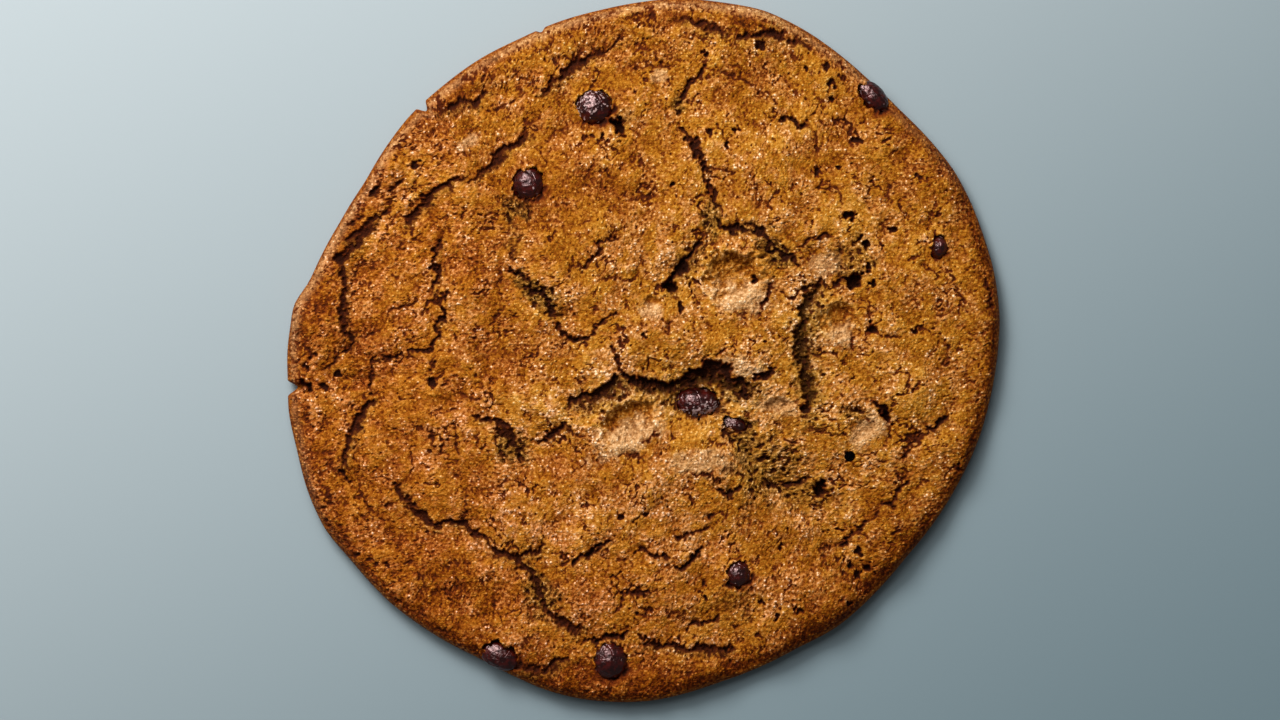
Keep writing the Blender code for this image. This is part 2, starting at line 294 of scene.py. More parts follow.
# Open pits, their insides painted black as shade: each line has a radius and a depth in
# millimetres, then the places of that size
PITS = """
0.35 0.5 442,606
0.35 0.6 857,141 862,123 817,171 837,168 875,181 928,174 831,98 810,98 827,68 809,71
0.35 0.6 638,612 647,514 704,597
0.35 0.7 643,335 788,528 827,533
0.4 0.6 672,187 918,180 832,85 723,648 705,583
0.4 0.7 781,543 798,608 390,566 619,516 762,600
0.4 0.8 737,129 710,132 704,54 833,371 842,527
0.45 0.7 320,496 339,374
0.45 0.8 888,248 776,617
0.5 0.6 415,150 357,555
0.5 0.7 308,366 848,602
0.5 0.8 892,230 873,573 957,466 325,387
0.5 0.9 760,48 913,329 860,239 817,524 857,552 847,565 857,575 434,383 752,493
0.5 1 604,137 727,149 868,268 872,285 731,439 765,457
0.55 1 752,281
0.6 0.6 398,602 325,523
0.6 0.7 312,358 418,165
0.6 1 881,408 864,565 806,409
0.6 1.2 865,247
0.7 1.2 743,392
0.7 1.4 848,217
0.75 2 887,418
0.8 1.3 872,327
0.9 1.5 690,381
0.9 2.2 670,289
1 0.8 342,259
1 2 818,488
1.1 1.6 305,385
1.15 2.2 853,280
1.2 1.6 702,375
1.25 2.4 619,129
1.5 1.7 712,369
"""
# Craters: place, half length and half width in millimetres, the turn of the length from +X in
# degrees, and depth and height of the rim in millimetres
CRATERS = [
    ((736, 279), 4.6, 4, -15, 1.2, 0.75), ((630, 423), 5, 3.3, 25, 1.1, 0.55),
    ((838, 320), 3, 2.9, 0, 0.8, 0.3), ((651, 303), 1.5, 1.3, 0, 0.6, 0.15),
    ((778, 405), 2.3, 1.4, 10, 0.5, 0.15), ((744, 270), 2.2, 1.3, -15, 0.5, 0),
    ((862, 430), 3, 1.9, 40, 0.5, 0.1),
]
# Pale crust: place, half length and half width in millimetres, turn in degrees, strength
PALE = [
    ((742, 298), 3.9, 2.1, 0, 1), ((628, 437), 4.6, 2, 25, 0.95), ((840, 336), 2, 1.4, 0, 0.8),
    ((652, 312), 1.4, 1.2, 0, 0.9), ((777, 405), 2.5, 1.3, 0, 0.8), ((743, 368), 3.2, 1.2, -10, 1),
    ((866, 431), 2.9, 1.5, 40, 0.9), ((702, 461), 4.4, 1.5, 5, 0.8), ((824, 266), 2.6, 1.4, 10, 0.7),
    ((470, 143), 1.3, 0.8, 30, 0.7), ((660, 77), 1.2, 0.8, 0, 0.7),
]
# Crust thick with sugar: as for the pale crust
SUGARY = [
    ((783, 285), 3.6, 1.6, 30, 1), ((590, 372), 6, 2.6, 20, 1), ((655, 240), 6.5, 3.5, 30, 1),
    ((330, 338), 2.4, 3.5, 0, 1), ((575, 600), 4, 3, 0, 1), ((790, 580), 5.5, 2.6, 25, 1),
    ((480, 262), 2.6, 5.5, 0, 1), ((625, 395), 3, 1, 20, 0.8), ((570, 455), 6, 3, 0, 0.8),
    ((510, 350), 6, 3.5, 0, 0.9), ((430, 130), 6, 2.6, 45, 1), ((370, 290), 4, 6, 0, 0.9),
    ((640, 500), 7, 2.5, 0, 0.8), ((745, 215), 3, 5, 0, 0.9), ((500, 492), 7, 3.5, 0, 1),
    ((680, 530), 7, 3, 20, 0.9),
]
# Torn places where the crumb shows: as for the pale crust
TORN = [
    ((765, 468), 5.4, 4.6, 0, 0.62), ((745, 445), 2.2, 3.4, 0, 0.85), ((790, 490), 4, 1.6, 0, 0.6),
    ((541, 297), 3, 1.5, -40, 0.9), ((515, 210), 2.2, 1.6, 0, 0.7), ((852, 264), 2.6, 2.6, 0, 0.6),
    ((809, 388), 1.7, 2.4, 0, 0.8), ((738, 602), 3, 2.2, 0, 0.35), ((541, 592), 2.2, 3.6, 15, 0.7),
    ((648, 387), 3.8, 0.9, -8, 0.9), ((512, 447), 2.6, 2, -40, 0.8), ((590, 404), 3, 1.4, 10, 0.6),
    ((712, 219), 1.4, 2.3, 0, 0.9), ((776, 255), 3.2, 1.5, -35, 0.8), ((735, 390), 3.4, 1.6, 0, 0.85),
    ((802, 350), 1.5, 5, 0, 0.8), ((679, 106), 1, 1.3, 0, 0.8), ((745, 231), 4, 0.9, 0, 0.6),
    ((700, 395), 4.4, 3, 0, 0.6), ((812, 300), 1.3, 2.6, 20, 0.6), ((690, 262), 1.8, 2.6, -30, 0.5),
    ((527, 283), 1.6, 1, -35, 0.9), ((515, 238), 1.2, 3.2, 0, 0.35), ((855, 412), 1.6, 1, 0, 0.7),
    ((812, 500), 5, 1.6, 0, 0.35), ((860, 245), 1.4, 1.4, 0, 0.6), ((625, 118), 1, 1.4, 0, 0.5),
    ((800, 425), 3.2, 1.6, 0, 0.3),
]
# Darker skin, where chips may lie just under it: as for the pale crust
DARK_SKIN = [((323, 302), 2.0, 1.5, 0, 0.6), ((750, 22), 2.4, 1.3, -20, 0.7)]
# Broad places made darker, or lighter where the strength is negative: as for the pale crust
BROAD_TONE_SHIFTS = [
    ((583, 195), 8, 4.5, 0, 0.4), ((480, 275), 4, 4, 0, 0.4), ((365, 350), 4, 5, 0, 0.45),
    ((630, 403), 13, 3.5, 0, -0.45), ((530, 420), 5, 5, 0, -0.45), ((575, 528), 12, 4.5, 0, -0.5),
    ((882, 522), 3.5, 6.5, -20, 0.5), ((835, 600), 8, 4, 40, 0.4), ((650, 672), 14, 2.5, 0, 0.6),
    ((440, 560), 7, 3.5, -45, 0.45), ((400, 190), 3, 7, -35, -0.4), ((745, 425), 5, 4.5, 0, -0.35),
    ((800, 325), 4, 7, 0, -0.3), ((525, 600), 5, 3, 0, 0.35), ((745, 125), 5, 4, 0, -0.2),
]
# Swells in the crust: place, radius and height in millimetres
SWELLS = [
    ((312, 318), 5, 0.9), ((752, 22), 4.6, 1), ((892, 540), 6.5, 0.9), ((800, 592), 6.5, 0.9),
    ((575, 600), 5.5, 0.7), ((600, 255), 9, 0.7), ((395, 290), 8, 0.7), ((480, 280), 6.5, 0.6),
    ((560, 380), 9, 0.7), ((655, 335), 6, 0.7), ((770, 190), 8, 0.6), ((640, 500), 9, 0.6),
    ((520, 640), 4.5, 0.6), ((700, 450), 5, 0.7), ((920, 330), 8, 0.5), ((460, 600), 7, 0.6),
    ((735, 250), 3, 0.5), ((756, 271), 0.9, 0.7), ((618, 396), 3.4, 0.6), ((740, 362), 2.6, 0.6),
    ((320, 460), 5, 0.5),
]
PINHOLE = (849, 456)

# Colours from dark to light, as they look in a picture: the smooth and the sugary crust, its pale
# blisters, the crumb where it is torn, and the walls of the gaps from their edges down. The darker
# stops carry painted shade: in the gaps, the hollows and the deep crumb, and along the rim away from
# the light
AMBER_TONES = [
    (50, 14, 1), (93, 39, 2), (131, 71, 8), (163, 102, 23), (187, 127, 44), (215, 160, 78),
    (247, 205, 142),
]
SUGAR_TONES = [
    (54, 14, 3), (97, 39, 7), (134, 71, 18), (166, 103, 40), (194, 132, 70), (224, 170, 117),
    (255, 218, 178),
]
PALE_TONES = [(96, 60, 28), (150, 104, 58), (198, 150, 100), (228, 186, 138), (248, 220, 184)]
CRUMB_TONES = [(36, 18, 5), (74, 45, 14), (114, 77, 26), (160, 113, 46), (206, 160, 90)]
GAP_TONES = [(122, 56, 12), (100, 40, 9), (78, 29, 8), (54, 19, 9), (36, 13, 8)]
RUDDY_CAST = (1.0, 0.86, 0.9)  # what the crust's colour is multiplied by where it is ruddy

# Directions from the middle in degrees from +X: the side where the crust is toasted, the side where
# it is slightly darker, the ruddy side, and the side towards the light, whose rim gets a painted pale
# sheen
TOASTED_SIDE, DULLER_SIDE, RUDDY_SIDE, PAINTED_SHEEN_SIDE = 205, 60, 215, 120

# The crust low on the rim's side and underneath, where no marks reach; all else there is 0
UNDERSIDE = {"toast_and_shade": 0.75, "sugar": 0.4, "ruddy": 0.5}

# Chips: place, half sizes in millimetres, the turn from +X in degrees, how far it stands proud
CHIPS = [
    ((595, 108), (3.0, 2.9, 2.3), 0, 1.3),
    ((529, 185), (2.8, 2.7, 2.2), 30, 1.1),
    ((872, 97), (3.0, 1.9, 1.5), -45, 0.5),
    ((938, 248), (1.9, 1.4, 1.7), 80, 0.7),
    ((697, 402), (3.5, 2.3, 2.0), 0, 0.3),
    ((738, 573), (2.2, 2.3, 2.1), 0, 1.2),
    ((501, 655), (3.3, 2.2, 1.6), -20, 0.4),
    ((610, 659), (2.8, 3.0, 2.1), 0, 1.2),
    ((735, 424), (1.9, 1.3, 1.3), -20, 0.1),
]
# How far out over a chip its pocket is open, as a share of its half sizes, and the same for the
# chips whose pocket is wider, by number
POCKET_EDGE = 0.84
WIDE_POCKETS = {5: 0.95}
# How dusty some chips are, from 0 to 1, and by how much more towards +X and +Y. On chips 1 and 9
# it grows towards the light and is a painted sheen; on chip 5 it is dust on the side away from it
DUST_AND_SHEEN = {1: (0.3, -0.25, 0.35), 5: (0.1, 0.4, -1.4), 9: (0.2, -0.4, 0.4)}


def spot(pixel):
    """The place in metres of a pixel of the photograph."""
    return (pixel[0] - PHOTO_CENTRE[0]) * PIXEL, (PHOTO_CENTRE[1] - pixel[1]) * PIXEL


def smooth(share):
    """Rises from 0 to 1 with level ends."""
    share = np.clip(share, 0, 1)
    return share * share * (3 - 2 * share)


AXIS = np.linspace(-HALF, HALF, SIDE)
X, Y = np.meshgrid(AXIS, AXIS)
PITCH = np.hypot(np.fft.fftfreq(SIDE, CELL)[:, None], np.fft.rfftfreq(SIDE, CELL)[None, :])


def grain(size, seed):
    """Random waves of about that length all over the raster, with mean 0 and spread 1."""
    white = np.random.default_rng(seed).standard_normal((SIDE, SIDE))
    band = (PITCH * size) ** 2 * np.exp(-((PITCH * size) ** 2))
    waves = np.fft.irfft2(np.fft.rfft2(white) * band, s=(SIDE, SIDE))
    return waves / waves.std()


def blur(field, radius):
    """The raster smoothed over that radius."""
    spread = np.exp(-2 * (math.pi * PITCH * radius) ** 2)
    return np.fft.irfft2(np.fft.rfft2(field) * spread, s=(SIDE, SIDE))


def read_raster(field, x, y):
    """The raster's value at each point, blended from the four cells round it."""
    u = np.clip((x + HALF) / CELL, 0, SIDE - 1.001)
    v = np.clip((y + HALF) / CELL, 0, SIDE - 1.001)
    i, j = u.astype(int), v.astype(int)
    u, v = u - i, v - j
    low = field[j, i] * (1 - u) + field[j, i + 1] * u
    high = field[j + 1, i] * (1 - u) + field[j + 1, i + 1] * u
    return low * (1 - v) + high * v


def outline_radius(angle):
    """The rim's distance from the origin in each direction, notches included."""
    points = np.array([spot(pixel) for pixel in read_pixels(OUTLINE)])
    bearing = np.arctan2(points[:, 1], points[:, 0])
    reach = np.hypot(points[:, 0], points[:, 1])
    radius = np.zeros_like(angle)
    for step, weight in ((-2, 0.1), (-1, 0.2), (0, 0.4), (1, 0.2), (2, 0.1)):
        turned = angle + math.radians(step * OUTLINE_EASE)
        radius += weight * np.interp(turned, bearing, reach, period=2 * math.pi)
    for place, width, depth in NOTCHES:
        x, y = spot(place)
        off = np.abs((angle - math.atan2(y, x) + math.pi) % (2 * math.pi) - math.pi) * radius
        radius = radius - depth * MM * smooth(1 - off / (width * MM))
    return radius


def reach_of(x, y, place, length, width, turn):
    """How far each point is from the middle of an oval: 1 on its edge."""
    cx, cy = spot(place)
    c, s = math.cos(math.radians(turn)), math.sin(math.radians(turn))
    u = ((x - cx) * c + (y - cy) * s) / (length * MM)
    v = ((y - cy) * c - (x - cx) * s) / (width * MM)
    return np.hypot(u, v)


def bare_height(x, y, inside):
    """The top of the slab with its rounded rim and its swells, as in the part."""
    shoulder = np.sqrt(1 - (1 - np.clip(inside / SHOULDER, 0, 1)) ** 2)
    height = WIDEST_HEIGHT + (RIM_HEIGHT - WIDEST_HEIGHT) * shoulder
    height += (CROWN_HEIGHT - RIM_HEIGHT) * smooth(inside / CROWN_REACH)
    for place, radius, rise in SWELLS:
        height += rise * MM * shoulder * np.exp(-reach_of(x, y, place, radius, radius, 0) ** 2)
    return height


def straying(amount, size, seed):
    """The raster's coordinates moved about at random, so that what is drawn in them wanders."""
    return X + amount * grain(size, seed), Y + amount * grain(size, seed + 1)


def facing_light(place):
    """How far each point of the raster lies towards the light from that place, from -1 to 1."""
    cx, cy = spot(place)
    off_x, off_y = X - cx, Y - cy
    return (off_x * TO_LIGHT[0] + off_y * TO_LIGHT[1]) / np.maximum(np.hypot(off_x, off_y), CELL)


def towards(degrees):
    """1 in that direction from the middle, counterclockwise from +X, and -1 in the opposite one."""
    return np.cos(np.arctan2(Y, X) - math.radians(degrees))


def read_pixels(line):
    """The pixels that a line of a table gives."""
    return [tuple(map(float, pair.split(","))) for pair in line.split()]


def follow_route(x, y, route):
    """Each point's distance from the route, its share of the way along it, and how far it lies to
    the side away from the light."""
    steps = np.diff(route, axis=0)
    lengths = np.hypot(steps[:, 0], steps[:, 1])
    starts = np.concatenate([[0], np.cumsum(lengths)])
    away = np.full(x.shape, 1.0)
    along, shade_side = np.zeros_like(x), np.zeros_like(x)
    for (ax, ay), (dx, dy), length, start in zip(route, steps, lengths, starts):
        t = np.clip(((x - ax) * dx + (y - ay) * dy) / length**2, 0, 1)
        off_x, off_y = x - ax - t * dx, y - ay - t * dy
        distance = np.hypot(off_x, off_y)
        nearer = distance < away
        away = np.where(nearer, distance, away)
        along = np.where(nearer, (start + t * length) / starts[-1], along)
        side = -(off_x * TO_LIGHT[0] + off_y * TO_LIGHT[1])
        shade_side = np.where(nearer, side, shade_side)
    return away, along, shade_side


class Crust:
    """The crust on the raster: relief in metres, and how gaping, torn, pale and toasted it is. The
    gaps hold painted shade, the rim painted shade away from the light and a painted sheen towards it.
    """

    def __init__(self):
        self.inside = outline_radius(np.arctan2(Y, X)) - np.hypot(X, Y)
        for name in ("relief", "cut", "gap", "torn", "pale", "lip", "sag", "bare", "sugar"):
            setattr(self, name, np.zeros_like(X))
        wide_x, wide_y = straying(0.22 * MM, 3.5 * MM, 11)
        self.stray_x, self.stray_y = straying(0.13 * MM, 1.1 * MM, 21)
        self.stray_x += wide_x - X
        self.stray_y += wide_y - Y
        self.ragged = 0.22 * grain(8 * MM, 33) + 0.32 * grain(2.6 * MM, 31) + 0.25 * grain(0.9 * MM, 32)
        self.rough_edge = 0.7 * grain(3.5 * MM, 41) + 0.5 * grain(1.3 * MM, 42)

    def at_least(self, name, values, part=...):
        """Raises a field to the values wherever they are the larger."""
        field = getattr(self, name)
        field[part] = np.maximum(field[part], values)

    def crack(self, width, depth, dark, crumb, route):
        """Opens a crack: steep on the side near the light, with torn crumb on the other. Paints shade in
        the crack and just round it.
        """
        width, depth = width * MM, depth * MM
        route = np.array([spot(pixel) for pixel in route])
        reach = 2.2 * width + 2.6 * MM
        rows = slice(*np.searchsorted(AXIS, (route[:, 1].min() - reach, route[:, 1].max() + reach)))
        cols = slice(*np.searchsorted(AXIS, (route[:, 0].min() - reach, route[:, 0].max() + reach)))
        part = (rows, cols)
        away, along, shade_side = follow_route(self.stray_x[part], self.stray_y[part], route)
        ragged = np.clip(1 + min(1, 0.55 * MM / width) * self.ragged[part], 0.3, 2)
        half = width / 2 * (0.4 + 0.6 * np.sin(math.pi * along) ** 0.7) * ragged
        beyond = np.maximum(away - half, 0)
        far = 0.5 + 0.5 * np.clip(shade_side / np.maximum(away, 0.05 * MM), -1, 1)
        wall = 0.12 * MM + 0.15 * width + 0.7 * width * far
        opening = smooth((half - away) / wall + 0.5)
        self.at_least("cut", depth * opening, part)
        soft = np.exp(-((beyond / (0.16 * MM + 0.22 * width)) ** 2)) * np.clip(4 * half / width, 0, 1)
        self.at_least("gap", dark * (0.45 * soft + 0.55 * opening), part)
        roll = np.exp(-((beyond / (0.5 * MM + 0.9 * width)) ** 2)) * (1 - far)
        self.at_least("sag", 0.42 * depth * roll, part)
        edge = np.exp(-(((away - half) / (0.45 * MM + 0.2 * width)) ** 2)) * (0.3 + 0.7 * far)
        self.at_least("lip", 0.16 * depth * edge, part)
        spill = np.exp(-(((beyond - 0.3 * width) / (0.45 * width + 0.2 * MM)) ** 2)) * far
        self.at_least("torn", min(1, width / (1.3 * MM)) * 0.7 * spill, part)
        self.at_least("torn", crumb * opening, part)

    def pit(self, place, radius, depth):
        """Opens a pit and paints its inside black as shade."""
        reach = reach_of(self.stray_x, self.stray_y, place, radius, radius, 0)
        reach += min(1, 0.5 / radius) * 0.5 * self.rough_edge
        self.at_least("cut", depth * MM * smooth((1.25 - reach) / 0.7))
        self.at_least("gap", 0.9 * smooth((1.3 - reach) / 0.7))

    def gap_round(self, place, half_sizes, turn):
        """Opens a gap round a chip, on the side away from the light, and raises a ragged collar. The gap
        is painted black as shade, with a soft painted shadow beyond it.
        """
        length, width = half_sizes[:2]
        reach = reach_of(self.stray_x, self.stray_y, place, length, width, turn)
        shade = smooth(0.2 - 0.7 * facing_light(place) + 0.25 * self.rough_edge)
        ring = np.exp(-(((reach - 0.9) / 0.17) ** 2)) * shade
        self.at_least("cut", 0.5 * MM * ring)
        # Painted shadow: the dough beside the chip darkened on the side away from the light
        painted_chip_shadow = 0.4 * np.exp(-(((reach - 0.9) / 0.45) ** 2)) * shade
        self.at_least("gap", np.maximum(0.95 * ring, painted_chip_shadow))
        collar = np.exp(-(((reach - 0.9) / 0.16) ** 2)) * np.clip(0.6 + 0.5 * self.rough_edge, 0, 1.5)
        self.at_least("lip", 0.5 * MM * collar * (1 - ring))

    def crater(self, place, length, width, turn, depth, rim):
        """Sinks a shallow bowl with a raised rim."""
        reach = reach_of(self.stray_x, self.stray_y, place, length, width, turn)
        reach = reach + 0.07 * self.rough_edge
        lit = facing_light(place)
        self.relief -= depth * MM * smooth((1.1 - reach) / (0.85 - 0.3 * lit))
        self.relief += rim * MM * np.exp(-(((reach - 1.13) / 0.16) ** 2)) * smooth(0.55 + 0.6 * lit)
        self.at_least("bare", smooth(2.4 * (1.25 - reach)))

    def patch(self, place, length, width, turn, strength):
        """A soft oval with a ragged edge."""
        reach = reach_of(X, Y, place, length, width, turn)
        return strength * smooth(1.6 - reach + 0.3 * self.rough_edge)

    def mark(self):
        """Lays out all that has its own place in the photograph."""
        for name, patches in (("pale", PALE), ("torn", TORN), ("sugar", SUGARY)):
            for patch in patches:
                self.at_least(name, self.patch(*patch))
        for bowl in CRATERS:
            self.crater(*bowl)
        for place, half_sizes, turn, proud in CHIPS:
            self.gap_round(place, half_sizes, turn)
        for width, depth, dark, crumb, routes in (FINE, OPEN, FOLDED, WIDE, CRUMBLY, GAPING):
            for line in routes.strip().splitlines():
                self.crack(width, depth, dark, crumb, read_pixels(line))
        for line in PITS.strip().splitlines():
            radius, depth, places = line.split(maxsplit=2)
            for place in read_pixels(places):
                self.pit(place, float(radius), float(depth))

    def break_up(self):
        """Adds the waves, the broken plates and flakes, the crumbs and the pores, and cuts the gaps, with
        shade painted in them.
        """
        broad = 0.22 * grain(16 * MM, 51) + 0.09 * grain(7 * MM, 52)
        pillows = 0.035 * grain(3.4 * MM, 53)
        large, large_edge = plates(X, Y, 7.5 * MM, 54)
        small, small_edge = plates(X, Y, 2.3 * MM, 55)
        large_gap = open_edges(large_edge, 0.16 * MM, 0.15, 9 * MM, 81)
        small_gap = open_edges(small_edge, 0.1 * MM, 0.0, 5 * MM, 83)
        flaky = smooth(0.5 + 0.5 * grain(9 * MM, 85))
        pores = smooth((grain(0.85 * MM, 56) - 2.2) / 0.5)
        crumble, pebbles = grain(1.0 * MM, 57), grain(0.55 * MM, 58)
        sugar = 0.38 + 0.22 * grain(13 * MM, 60) + 0.3 * grain(4.5 * MM, 63) + 0.22 * grain(1.8 * MM, 64)
        self.sugar = smooth(sugar + 0.4 * self.sugar)
        flakes, flake_edge, rim = rim_plates(self.inside)
        creases = open_edges(flake_edge, 0.075 * MM, 0.3, 5 * MM, 87) * rim
        level = 0.1 * large + (0.03 + 0.06 * flaky) * small + 0.22 * rim * flakes
        self.relief += MM * (broad + pillows + level * (1 - 0.7 * self.bare))
        rough = (0.5 + 0.6 * self.sugar + 1.2 * self.torn) * (1 - 0.2 * self.bare)
        self.relief += MM * (0.055 * crumble + 0.06 * pebbles) * rough
        self.relief += self.lip - self.sag - 0.25 * MM * self.torn
        holes = smooth((grain(1.7 * MM, 59) + 0.35 * crumble - 0.8) / 0.5) * smooth(1.6 * self.torn - 0.15)
        self.sugar += (0.35 - self.sugar) * self.bare
        # Each opening is cut in and painted dark as shade
        for opening, depth, dark in (
            (large_gap, 0.35, 0.65), (small_gap, 0.22, 0.5), (pores, 0.4, 0.7), (holes, 0.5, 0.7),
            (creases, 0.3, 0.6),
        ):
            opening = opening * (1 - self.bare) * (1 - 0.8 * self.pale)
            self.at_least("cut", depth * MM * opening)
            self.at_least("gap", dark * opening)
        self.relief -= self.cut
        # Depth, fine rises and hollows, which the look turns into painted shade and painted light
        self.deep = np.clip(self.cut / (0.85 * MM), 0, 1)
        self.fine = (self.relief - blur(self.relief, 0.45 * MM)) / (0.1 * MM)
        self.hollow = (blur(self.relief, 1.6 * MM) - blur(self.relief, 0.5 * MM)) / (0.15 * MM)

    def brown(self):
        """Toasts the crust, most at the rim, and gives it its ruddy side. Along the rim it also paints
        shade on the side away from the light and a pale sheen on the side towards it.
        """
        out = np.hypot(X, Y)
        # Painted shade: the last few millimetres of the rim on the side away from the light, darkened as
        # if toasted
        painted_shade_side = smooth(0.6 - 0.8 * (X * TO_LIGHT[0] + Y * TO_LIGHT[1]) / (DIAMETER / 2))
        toast_and_shade = 0.45 * smooth(1 - self.inside / (7 * MM)) + 0.1 * grain(18 * MM, 61)
        toast_and_shade += 1.2 * painted_shade_side * smooth(1 - self.inside / (2.6 * MM)) + 0.05 * grain(5 * MM, 62)
        toast_and_shade += 0.35 * smooth(0.5 + 0.5 * towards(TOASTED_SIDE)) * smooth(out / (35 * MM))
        toast_and_shade += 0.16 * towards(DULLER_SIDE) * smooth(out / (45 * MM))
        for place in DARK_SKIN + BROAD_TONE_SHIFTS:
            toast_and_shade += self.patch(*place)
        self.toast_and_shade = np.clip(toast_and_shade, -0.6, 1.45)
        # Painted sheen: the rim's edge on the side towards the light turned pale
        painted_sheen = smooth(1.3 - self.inside / (1.8 * MM)) * smooth(0.2 + 0.9 * towards(PAINTED_SHEEN_SIDE))
        self.at_least("pale", 0.55 * painted_sheen)
        # Ruddier where toasted, the painted rim shade included
        ruddy = (0.3 + 0.6 * towards(RUDDY_SIDE)) * smooth(out / (45 * MM))
        ruddy += 0.05 + 0.1 * grain(9 * MM, 65) + 0.5 * np.clip(self.toast_and_shade - 0.4, 0, 1)
        self.ruddy = np.clip(ruddy, 0, 1)


def plates(x, y, size, seed):
    """Broken plates of about that size: each one's height and tilt, and the way to its edge."""
    table = np.random.default_rng(seed).random((TILES, TILES, 5))
    u, v = (
        place / size + 0.12 * grain(0.7 * size, seed + step) + 0.05 * grain(0.25 * size, seed + step + 100)
        for place, step in ((x, 100), (y, 300))
    )
    column, row = np.floor(u).astype(int), np.floor(v).astype(int)
    nearest, second, level = np.full(u.shape, 9.0), np.full(u.shape, 9.0), np.zeros_like(u)
    for i in (-1, 0, 1):
        for j in (-1, 0, 1):
            own = table[(column + i) % TILES, (row + j) % TILES]
            off_u, off_v = u - column - i - own[..., 0], v - row - j - own[..., 1]
            away = np.hypot(off_u, off_v)
            nearer = away < nearest
            second = np.where(nearer, nearest, np.minimum(second, away))
            nearest = np.where(nearer, away, nearest)
            height = own[..., 2] - 0.5 + 2 * (own[..., 3] - 0.5) * off_u + 2 * (own[..., 4] - 0.5) * off_v
            level = np.where(nearer, height, level)
    return level, (second - nearest) * size / 2


def open_edges(edge, width, share, size, seed):
    """Opens the plates' edges here and there, up to that width."""
    gaping = smooth(share + 0.6 * grain(size, seed)) * np.clip(1 + 0.5 * grain(MM, seed + 1), 0.2, 2)
    return smooth(1.5 - edge / np.maximum(width * gaping, 0.01 * MM)) * smooth(3 * gaping)


def rim_plates(inside):
    """The crust's long flakes along the rim: their levels, their edges and where they are strong."""
    bearing = np.arctan2(Y, X) % (2 * math.pi) - math.pi
    along = bearing * DIAMETER / 2 / FLAKE_STRETCH
    level, edge = plates(along, inside, 1.7 * MM, 71)
    zone = smooth(inside / (1.0 * MM)) * smooth(1.6 - inside / (10 * MM))
    zone *= 0.25 + 0.75 * smooth(0.5 + 0.7 * np.cos(bearing + math.radians(30)))
    return level, edge, zone * smooth((math.pi - np.abs(bearing)) / 0.15)


def disc_points():
    """The square grid drawn into a disc: each point's ring, from 0 to 1, and its direction."""
    a, b = np.meshgrid(np.linspace(-1, 1, GRID), np.linspace(-1, 1, GRID))
    a, b = a.ravel(), b.ravel()
    ring = np.maximum(np.abs(a), np.abs(b))
    sideways = np.abs(a) > np.abs(b)
    safe = np.where(ring == 0, 1, np.where(sideways, a, b))
    turn = math.pi / 4 * np.where(sideways, b, a) / safe
    angle = np.where(sideways, turn, math.pi / 2 - turn) + np.where(safe < 0, math.pi, 0)
    return ring, angle


def grid_border():
    """The grid's outermost points in order, counterclockwise."""
    n, step = GRID, np.arange(GRID - 1)
    return np.concatenate([step, step * n + n - 1, n * n - 1 - step, (n - 1 - step) * n])


def under_rings(radius, angle):
    """Rings from the widest line down round the rim and in over the base: points and UV radii."""
    rings, spans = [], []
    for step in range(1, SIDE_RINGS + 1):
        lean = math.pi / 2 * step / SIDE_RINGS
        reach = radius - UNDERCUT * (1 - math.cos(lean))
        rings.append((reach, WIDEST_HEIGHT * (1 - math.sin(lean))))
        spans.append(1 - SIDE_SPAN * step / SIDE_RINGS)
    for share in BASE_RINGS:
        rings.append(((radius - UNDERCUT) * share, 0.0))
        spans.append((1 - SIDE_SPAN) * share)
    points = []
    for reach, height in rings:
        points.append(np.stack([reach * np.cos(angle), reach * np.sin(angle), 0 * angle + height], 1))
    return points, spans


def chip_floor(x, y, floor):
    """Sinks the crust under each chip, so that the chip lies in a pocket with a ragged edge."""
    ragged = grain(2.2 * MM, 75)
    for number, (place, half_sizes, turn, proud) in enumerate(CHIPS, 1):
        length, width, height = half_sizes
        reach = reach_of(x, y, place, length, width, turn)
        middle = chip_place(place, half_sizes, proud)[2]
        under = middle - (height + 0.1) * MM * np.sqrt(np.clip(1 - reach**2, 0, 1))
        reach = reach + 0.11 * read_raster(ragged, x, y)
        edge = WIDE_POCKETS.get(number, POCKET_EDGE)
        floor = np.where(reach < edge, np.minimum(floor, under), floor)
    return floor


def chip_place(place, half_sizes, proud):
    """The middle of a chip, which stands proud of the dough's own height there."""
    x, y = (np.array([value]) for value in spot(place))
    inside = outline_radius(np.arctan2(y, x)) - np.hypot(x, y)
    height = bare_height(x, y, inside)[0]
    return x[0], y[0], height + (proud - half_sizes[2]) * MM


